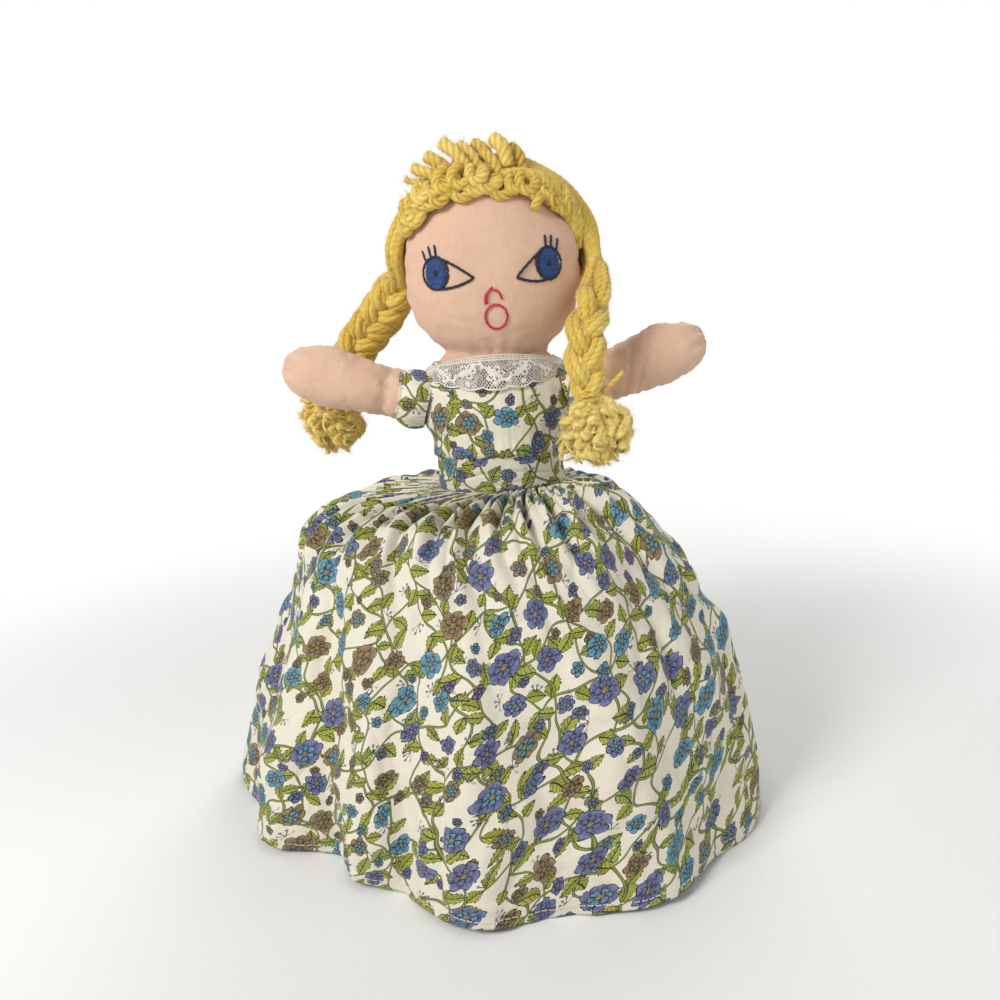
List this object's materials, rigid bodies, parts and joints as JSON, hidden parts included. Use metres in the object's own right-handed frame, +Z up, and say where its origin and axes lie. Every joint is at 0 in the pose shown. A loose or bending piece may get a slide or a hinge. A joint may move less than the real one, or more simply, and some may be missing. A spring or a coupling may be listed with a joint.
{
  "type": "rag doll",
  "caption": "Standing cloth rag doll with embroidered face, yellow yarn braids, lace collar and a long full gathered dress of small floral print.",
  "frame": {"origin": "on the floor, in the middle of the doll's outer box; it stands on the skirt's hem", "axes": "+Z up, -Y to the doll's front, its own right side at -X and its left at +X"},
  "size_m": [0.2836, 0.267, 0.3127],
  "materials": {
    "skin": "matte plain cotton muslin",
    "filling": "loose cotton stuffing",
    "print": "matte printed cotton with small flowers",
    "lace": "soft cotton lace",
    "yarn": "fluffy plied wool yarn",
    "blue": "satin-stitched cotton thread",
    "dark": "cotton embroidery thread",
    "red": "cotton embroidery thread"
  },
  "bodies": {
    "torso": {"torso_skin": "skin", "torso_filling": "filling", "bodice": "print", "waistband": "print", "skirt": "print", "lace_collar_front": "lace", "lace_collar_back": "lace"},
    "head": {"head_skin": "skin", "head_filling": "filling", "right_hair": "yarn", "left_hair": "yarn", "parting_stitch": "yarn", "fringe": "yarn", "right_iris": "blue", "left_iris": "blue", "right_pupil": "dark", "left_pupil": "dark", "right_eye_outline": "dark", "left_eye_outline": "dark", "mouth": "red", "nose": "red"},
    "right_arm": {"right_arm_skin": "skin", "right_arm_filling": "filling", "right_sleeve": "print"},
    "left_arm": {"left_arm_skin": "skin", "left_arm_filling": "filling", "left_sleeve": "print"},
    "right_leg": {"right_leg_skin": "skin", "right_leg_filling": "filling"},
    "left_leg": {"left_leg_skin": "skin", "left_leg_filling": "filling"},
    "right_braid": {"right_braid": "yarn", "right_braid_tie": "yarn"},
    "left_braid": {"left_braid": "yarn", "left_braid_tie": "yarn"}
  },
  "joints": [
    {"name": "head_tilt", "type": "hinge", "parent": "torso", "child": "head", "pos_m": [0.01631, -0.00774, 0.189], "axis": [0, 1, 0], "range_deg": [-8, 8], "stiffness_Nm_per_rad": 0.1},
    {"name": "right_arm_raise", "type": "hinge", "parent": "torso", "child": "right_arm", "pos_m": [-0.02369, -0.00774, 0.205], "axis": [0, 1, 0], "range_deg": [-40, 20]},
    {"name": "left_arm_raise", "type": "hinge", "parent": "torso", "child": "left_arm", "pos_m": [0.05631, -0.00774, 0.205], "axis": [0, -1, 0], "range_deg": [-50, 20]},
    {"name": "right_leg_swing", "type": "hinge", "parent": "torso", "child": "right_leg", "pos_m": [0.00131, -0.00774, 0.1415], "axis": [-1, 0, 0], "range_deg": [-25, 30]},
    {"name": "left_leg_swing", "type": "hinge", "parent": "torso", "child": "left_leg", "pos_m": [0.03131, -0.00774, 0.1415], "axis": [-1, 0, 0], "range_deg": [-25, 30]},
    {"name": "right_braid_swing", "type": "hinge", "parent": "head", "child": "right_braid", "pos_m": [-0.03069, 0.00676, 0.262], "axis": [0, 1, 0], "range_deg": [0, 35]},
    {"name": "left_braid_swing", "type": "hinge", "parent": "head", "child": "left_braid", "pos_m": [0.06301, -0.01874, 0.262], "axis": [0, -1, 0], "range_deg": [0, 35]}
  ]
}
